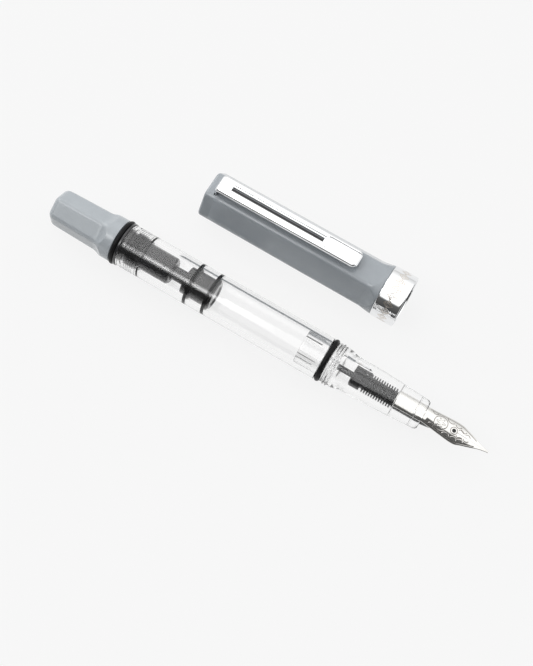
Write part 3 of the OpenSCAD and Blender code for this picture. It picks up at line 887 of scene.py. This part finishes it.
def make_clip():
    """The spring clip: leg, bend and long arm, with a slot along the arm and a toe under its end."""
    line, columns = clip_line(), clip_columns()
    bm = bmesh.new()
    rings = []
    for j, here in enumerate(line):
        before, after = line[max(0, j - 1)], line[min(len(line) - 1, j + 1)]
        rings.append(clip_ring(bm, before, here, after, columns))
    add_skin(bm, rings)
    piece = finish_mesh("clip_spring", bm, CHROME, CLIP_SHARP)
    below, above = 6.6, 13
    cut_by(piece, [block(CAP.place(SLOT_FROM, SLOT_SIDE, below), CAP.place(SLOT_TO, -SLOT_SIDE, above))])
    mark_sharp(piece, CLIP_SHARP)
    weigh_normals(piece)
    settle(piece, "spring_clip", "chrome", "clip")


def make_clip_slot_shade():
    """A dark half-round bar under the clip's slot. It is painted shade: it stands for the shadow in the gap
    under the clip, which shows through the slot.
    """
    crown, shade_bar_r, end_shrink, shrink = CLIP_TOP - 0.92, 0.85, 0.3, 0.05
    half_turn = [TAU / 2 * (i / 16 - 0.5) for i in range(17)]
    sections = [(SLOT_FROM - 0.6, end_shrink), (SLOT_FROM - 0.5, shrink), (SLOT_TO + 0.5, shrink),
                (SLOT_TO + 0.6, end_shrink)]
    rings = []
    for s, less in sections:
        r = shade_bar_r - less
        rings.append([CAP.place(s, r * math.sin(a), crown - shade_bar_r + r * math.cos(a)) for a in half_turn])
    bm = bmesh.new()
    add_loft(bm, rings)
    # The bar's black is painted shade, not a part of the clip.
    settle(finish_mesh("clip_slot_shade_bar", bm, BLACK, 50), "spring_clip", "black_plastic")


# ---------------------------- nib

NIB_BASE, NIB_BEND, NIB_TIP = 104.2, 113.5, PEN.ends("nib")[1]
NIB_CROWN, NIB_THICK = 2.71, 0.3
CURVE_R, CURVE_OPENING, OPENING_LENGTH = 3.0, 1.6, 8
NIB_SLOPE = math.tan(math.radians(7.2))
NIB_COLUMNS, NIB_ROW_STEP, NIB_CUT = 84, 0.075, 0.035
NIB_SHARP = 40
BREATHER, BREATHER_R, SLIT_HALF = 121.2, 0.55, 0.035
ROSETTE, ROSETTE_R, HALO_R = 117.3, 1.85, 0.95
PETAL_R, PETAL_SWING, PETALS = 0.85, 0.4, 6
BORDER_INSET, BORDER_END = 0.42, 127.5
LINE_HALF = 0.11
FAR_AWAY = 9.0

# The nib's half width at its stations, joined by a smooth line
NIB_OUTLINE = [(104.0, 2.3), (112.0, 2.32), (115.5, 2.55), (118.7, 2.84), (121.2, 3.0), (122.9, 2.9),
               (124.3, 2.42), (126.2, 1.75), (129.0, 0.74), (130.6, 0.36), (131.5, 0.25)]

# The leaf arcs: centre along and across the nib, radius, first and last angle in degrees
NIB_ARCS = [(119.6, 2.5, 1.1, 180, 330), (121.8, 2.2, 0.9, 200, 350), (123.6, 1.6, 0.8, 190, 350),
            (115.0, 2.1, 0.8, 190, 350), (123.0, 0.3, 0.9, 20, 150), (125.0, 0.2, 0.8, 20, 150)]


def nib_top(s):
    """Height of the nib's crown over the pen's axis."""
    return NIB_CROWN - max(0.0, s - NIB_BEND) * NIB_SLOPE


def nib_half_width(s):
    """A smooth line through the nib's half widths."""
    points = NIB_OUTLINE
    i = max(0, min(len(points) - 2, sum(1 for p in points if p[0] <= s) - 1))
    before, here = points[max(0, i - 1)], points[i]
    there, after = points[i + 1], points[min(len(points) - 1, i + 2)]
    gap = there[0] - here[0]
    t = min(1.0, max(0.0, (s - here[0]) / gap))
    rise_in = (there[1] - before[1]) / (there[0] - before[0]) * gap
    rise_out = (after[1] - here[1]) / (after[0] - here[0]) * gap
    return (here[1] * (2 * t ** 3 - 3 * t ** 2 + 1) + rise_in * (t ** 3 - 2 * t ** 2 + t)
            + there[1] * (3 * t ** 2 - 2 * t ** 3) + rise_out * (t ** 3 - t ** 2))


def arc_distance(x, y, arc):
    """Distance to an arc of NIB_ARCS, or far away where the arc doesn't reach."""
    cx, cy, r, first, last = arc
    angle = math.degrees(math.atan2(y - cy, x - cx)) % 360
    if not first <= angle <= last:
        return FAR_AWAY
    return abs(math.hypot(x - cx, y - cy) - r)


def engraving_depth(s, y):
    """The nib's own pattern, 0 bare and 1 cut: a rosette, leaf arcs beside the slit and a border."""
    side = abs(y)
    leaves = min(arc_distance(s, side, arc) for arc in NIB_ARCS)
    border = abs(side - (nib_half_width(s) - BORDER_INSET)) if NIB_BEND < s < BORDER_END else FAR_AWAY
    halo = abs(math.hypot(s - BREATHER, y) - HALO_R)
    r, angle = math.hypot(s - ROSETTE, y), math.atan2(y, s - ROSETTE)
    petals = abs(r - PETAL_R - PETAL_SWING * math.cos(PETALS * angle))
    lines = min(leaves, border, halo, abs(r - ROSETTE_R), petals)
    return smooth_step(1.25 - lines / LINE_HALF)


def nib_ring(bm, layer, s):
    """A ring of vertices round the nib's curved plate at a station. The layer holds the engraving."""
    w, crown = nib_half_width(s), nib_top(s)
    curve = CURVE_R + CURVE_OPENING * smooth_step((s - NIB_BEND) / OPENING_LENGTH)
    inner = curve - NIB_THICK
    top, bottom = [], []
    for i in range(NIB_COLUMNS + 1):
        across = 2 * i / NIB_COLUMNS - 1
        a = math.asin(min(0.999, w / curve)) * across
        depth = engraving_depth(s, curve * a)
        edge = smooth_step((1 - abs(across)) * w / 0.12)
        outer = curve - NIB_CUT * depth - 0.06 * (1 - edge)
        vertex = bm.verts.new(PEN.place(s, outer * math.sin(a), crown - curve + outer * math.cos(a)))
        vertex[layer] = depth
        top.append(vertex)
        bottom.append(bm.verts.new(PEN.place(s, inner * math.sin(a), crown - curve + inner * math.cos(a))))
    return top + bottom[::-1]


def make_nib():
    """The engraved steel nib, with its breather hole and slit cut out."""
    count = int((NIB_TIP - NIB_BASE) / NIB_ROW_STEP)
    bm = bmesh.new()
    layer = bm.verts.layers.float.new("engraving")
    add_skin(bm, [nib_ring(bm, layer, NIB_BASE + (NIB_TIP - NIB_BASE) * j / count) for j in range(count + 1)])
    piece = finish_mesh("nib_plate", bm, NIB_STEEL, NIB_SHARP)
    slit = block(PEN.place(BREATHER, SLIT_HALF, -1), PEN.place(NIB_TIP + 1, -SLIT_HALF, 5))
    cut_by(piece, [drill(PEN, BREATHER, BREATHER_R, 0.2, 5), slit])
    mark_sharp(piece, NIB_SHARP)
    settle(piece, "pen", "nib_steel", "nib")


# ---------------------------- feed

FEED_REAR, FINS_FROM, FINS_TO, FEED_TIP = 91.5, 94.6, 104.0, PEN.ends("feed")[1]
FIN_R, CORE_R, FIN_COUNT = 2.8, 2.0, 13
NECK_R = 2.38
INK_CHANNEL_HALF = 0.36


def channelled(radius, depth=0.62):
    """A round with the ink channel along its top."""
    def at(angle):
        in_channel = abs(radius * math.sin(angle)) < INK_CHANNEL_HALF and math.cos(angle) > 0
        return radius - depth if in_channel else radius
    return at


def add_comb(bm):
    """The feed's rear collar, its fins and the neck under the nib."""
    core, edge, fin = channelled(CORE_R, 0.2), channelled(FIN_R - 0.03), channelled(FIN_R)
    rows = [(FEED_REAR, 0), (FEED_REAR, channelled(2.4)), (FEED_REAR + 0.3, fin), (FINS_FROM - 0.05, fin),
            (FINS_FROM, core)]
    pitch = (FINS_TO - FINS_FROM) / FIN_COUNT
    for i in range(1, FIN_COUNT):
        s = FINS_FROM + i * pitch
        rows += [(s, core), (s + 0.03, edge), (s + 0.06, fin)]
        rows += [(s + pitch * 0.42, fin), (s + pitch * 0.45, edge), (s + pitch * 0.5, core)]
    rows += [(FINS_TO, core), (FINS_TO + 0.03, NECK_R), (NIB_BEND - 0.5, NECK_R), (NIB_BEND - 0.5, 0)]
    add_turned(bm, PEN, rows, 180, closed=False)


def add_ridges(bm):
    """The two ridges along the collar, either side of the ink channel."""
    section = ((0, -0.2), (0.32, -0.15), (0.36, 0), (0.32, 0.15), (0, 0.2))
    for turn in (-0.62, 0.62):
        ridge = [(FIN_R - 0.1 + h, turn + a) for h, a in section]
        add_loft(bm, [[PEN.point(s, r, a) for r, a in ridge] for s in (FEED_REAR + 0.1, FINS_FROM + 1.5)])


def add_tongue(bm, count=40):
    """The feed's front end, which narrows under the nib."""
    first = NIB_BEND - 0.6
    rings = []
    for j in range(count):
        t = j / (count - 1)
        s = first + (FEED_TIP - first) * t
        rho = max(0.18, NECK_R * (1 - t ** 1.25 * 0.88))
        crown = min(NECK_R, nib_top(s) - 0.34)
        side = rho * (1 - 0.12 * t)
        rings.append([PEN.place(s, side * math.sin(a), crown - rho + rho * math.cos(a)) for a in turns(64)])
    add_loft(bm, rings)


def add_fork(bm):
    """The forked tail and the stem that joins it to the collar."""
    tail, stem_from, stem_r = 87.6, 89.8, 0.8
    for side in (-1, 1):
        prong = [(0.22 * side, -0.72), (0.75 * side, -0.35), (0.8 * side, 0.0), (0.75 * side, 0.35),
                 (0.22 * side, 0.72)]
        add_loft(bm, [[PEN.place(s, y, h) for y, h in prong] for s in (tail, stem_from + 0.1)])
    ends = (stem_from, FEED_REAR + 0.05)
    add_loft(bm, [[PEN.point(s, stem_r, a) for a in turns(24)] for s in ends])


def make_feed():
    bm = bmesh.new()
    for add_part in (add_comb, add_ridges, add_tongue, add_fork):
        add_part(bm)
    settle(finish_mesh("feed_body", bm, FEED_BLACK, 35), "pen", "feed_plastic", "feed")


# ---------------------------- hidden CAD pieces

def dress_cad_nodes():
    """The CAD pieces that stay get their materials."""
    looks = {"knob_sleeve": BLACK, "spindle": BLACK, "finial_screw": PLAIN_STEEL, "clip_washer": PLAIN_STEEL}
    for node, material in looks.items():
        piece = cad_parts[node]
        for i in range(len(piece.material_slots)):
            piece.material_slots[i].material = material
        if not piece.material_slots:
            piece.data.materials.append(material)


# ---------------------------- studio

FLOOR_HALF, FLOOR_DROP, FLOOR_GLOW = 80, 0.0002, 0.86
SOFTBOX_STRENGTH = 4.5


def make_floor():
    """White paper that glows a little, so that it stays white round the pen."""
    look = Look("floor_paper")
    look.constants(Base_Color=(0.06, 0.06, 0.06, 1), Roughness=0.9, Specular_IOR_Level=0.0)
    look.constants(Emission_Color=WHITE, Emission_Strength=FLOOR_GLOW)
    bm = bmesh.new()
    bmesh.ops.create_grid(bm, x_segments=1, y_segments=1, size=FLOOR_HALF)
    floor = new_object("floor", bm)
    floor.data.materials.append(look.material)
    floor.location.z = -FLOOR_DROP


def dark_flags(sky, x, y):
    """A number that is low in front, where the flags are, and 1 elsewhere. They part in the middle."""
    right = sky.math("ADD", x, 0.05)
    left = sky.math("MINIMUM", sky.math("MULTIPLY", right, -1.0), 0.22)
    off_centre = sky.math("MAXIMUM", left, sky.math("MINIMUM", right, 0.38))
    slant = sky.math("MULTIPLY", off_centre, -2.0)
    return sky.ramp(sky.math("ADD", y, slant), 0.10, 1.0, -0.84, -0.76)


def soft_band(sky, value, middle, inner, outer):
    """1 where value is within inner of the middle, falling to 0 at outer."""
    distance = sky.math("ABSOLUTE", sky.math("ADD", value, -middle))
    return sky.ramp(distance, 1, 0, inner, outer)


def make_world():
    """A white studio, brightest overhead, with a softbox on the camera's left and dark flags low in front."""
    world = bpy.data.worlds.new("studio")
    bpy.context.scene.world = world
    sky = Graph(world)
    background = sky.nodes["Background"]
    background.inputs["Color"].default_value = WHITE
    coordinates = sky.nodes.new("ShaderNodeTexCoord")
    split = sky.nodes.new("ShaderNodeSeparateXYZ")
    sky.links.new(coordinates.outputs["Generated"], split.inputs["Vector"])
    x, y, z = [split.outputs[name] for name in "XYZ"]
    room = sky.math("MULTIPLY", sky.ramp(z, 0.70, 1.45, 0.05, 0.75), dark_flags(sky, x, y))
    across = soft_band(sky, y, -0.42, 0.02, 0.25)
    along = soft_band(sky, x, -0.40, 0.24, 0.28)
    softbox = sky.math("MULTIPLY", sky.math("MULTIPLY", across, along), SOFTBOX_STRENGTH)
    sky.links.new(sky.math("ADD", room, softbox), background.inputs["Strength"])


def make_light():
    """A weak strip on the far left, beside the light of the studio itself."""
    at = Vector((-0.9, 0.35, 0.5))
    light = bpy.data.lights.new("left_strip", "AREA")
    light.shape = "RECTANGLE"
    light.size, light.size_y = 0.3, 0.8
    light.energy = 1.5
    lamp = bpy.data.objects.new("left_strip", light)
    bpy.context.scene.collection.objects.link(lamp)
    lamp.location = at
    lamp.rotation_euler = (-at).to_track_quat("-Z", "Y").to_euler()


def make_camera():
    """Looks down at the pen from in front, rolled so that the pen runs down to the right."""
    at = Vector((41.52, PEN.y - 109.40, PEN.z + 308.80)) * MM
    azimuth, elevation, roll = math.radians(20.70), math.radians(69.573), math.radians(-10.43)
    ahead = math.cos(elevation)
    forward = Vector((-math.sin(azimuth) * ahead, math.cos(azimuth) * ahead, -math.sin(elevation)))
    level = forward.cross(Vector((0, 0, 1))).normalized()
    down = forward.cross(level)
    right = level * math.cos(roll) + down * math.sin(roll)
    up = -(down * math.cos(roll) - level * math.sin(roll))
    camera = bpy.data.cameras.new("camera")
    camera.lens = 67.97
    camera.sensor_width = 36
    camera.clip_start, camera.clip_end = 0.005, 50
    rig = bpy.data.objects.new("camera", camera)
    bpy.context.scene.collection.objects.link(rig)
    rig.matrix_world = Matrix.Translation(at) @ Matrix((right, up, -forward)).transposed().to_4x4()
    bpy.context.scene.camera = rig


# ---------------------------- build

make_camera()
make_world()
make_light()
make_floor()
bpy.context.scene.view_settings.view_transform = "Standard"

make_barrel()
make_grip_section()
make_o_ring("front_o_ring", "section_o_ring", "pen")
make_o_ring("rear_o_ring", "posting_o_ring", "knob_ring")
make_connector()
make_guide_sleeve()
make_piston_rod()
make_piston_head()
make_seal("rear_seal")
make_seal("front_seal")
make_knob()
make_cap_shell()
make_finial()
make_inner_cap()
make_cap_band()
make_clip()
make_clip_slot_shade()
make_nib()
make_feed()
dress_cad_nodes()
